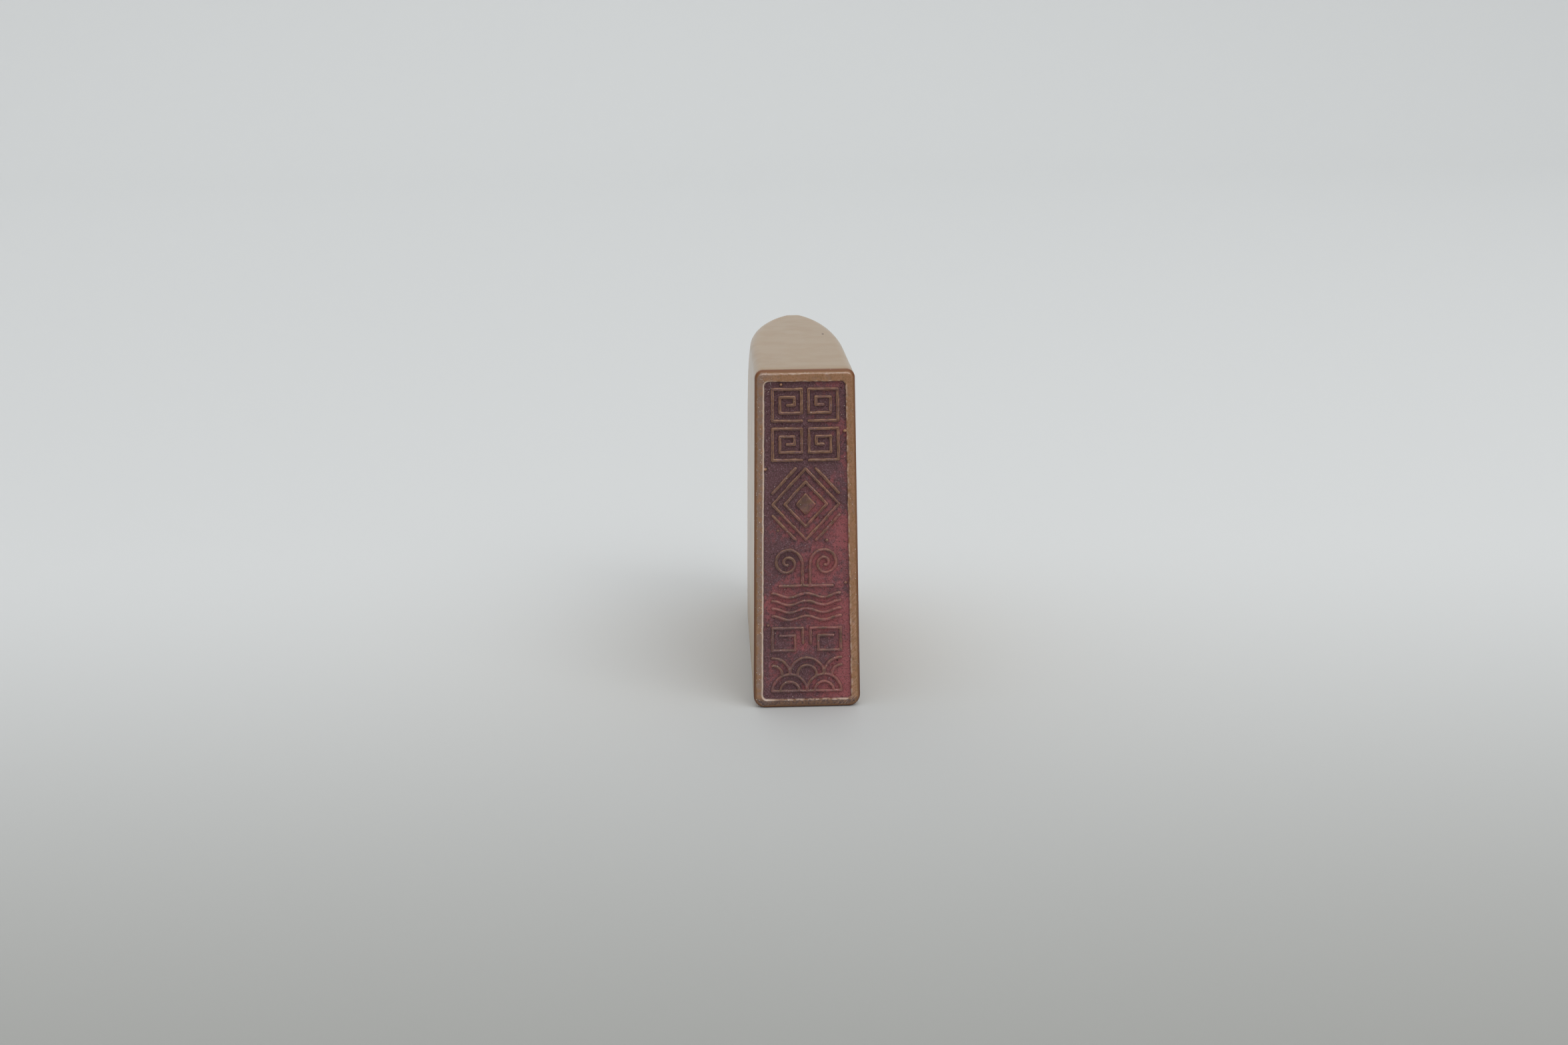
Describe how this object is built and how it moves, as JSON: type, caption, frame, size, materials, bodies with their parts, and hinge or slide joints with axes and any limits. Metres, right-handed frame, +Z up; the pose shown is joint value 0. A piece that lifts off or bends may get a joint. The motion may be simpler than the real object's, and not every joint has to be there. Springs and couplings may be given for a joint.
{
  "type": "carved stone seal",
  "caption": "Oblong stone seal stamp with a blunt ridged end and a sunk printing face of raised ornament, coated with dried seal paste.",
  "frame": {"origin": "under the middle of the stone, on the surface that it lies on", "axes": "+Z up with the stone lying on its narrow side; -Y out of the printing face; +Y towards the blunt ridge; +X to the right as the printing face is looked at"},
  "size_m": [0.018, 0.068, 0.0573],
  "materials": {
    "polished_stone": "polished, slightly translucent caramel-brown stone, satin where worn",
    "old_paste": "dried oily seal paste, dark maroon, granular",
    "fresh_paste": "fresher seal paste, dull red, granular"
  },
  "bodies": {
    "root": {"seal_stone": "polished_stone", "paste_open_ground": "old_paste", "paste_fresh": "fresh_paste", "paste_lozenge_outer": "old_paste", "paste_lozenge_inner": "old_paste", "paste_scale_left_outer": "old_paste", "paste_scale_left_inner": "old_paste", "paste_scale_right_outer": "old_paste", "paste_scale_right_inner": "old_paste", "paste_scale_upper_outer": "old_paste", "paste_scale_upper_inner": "old_paste"}
  },
  "joints": []
}
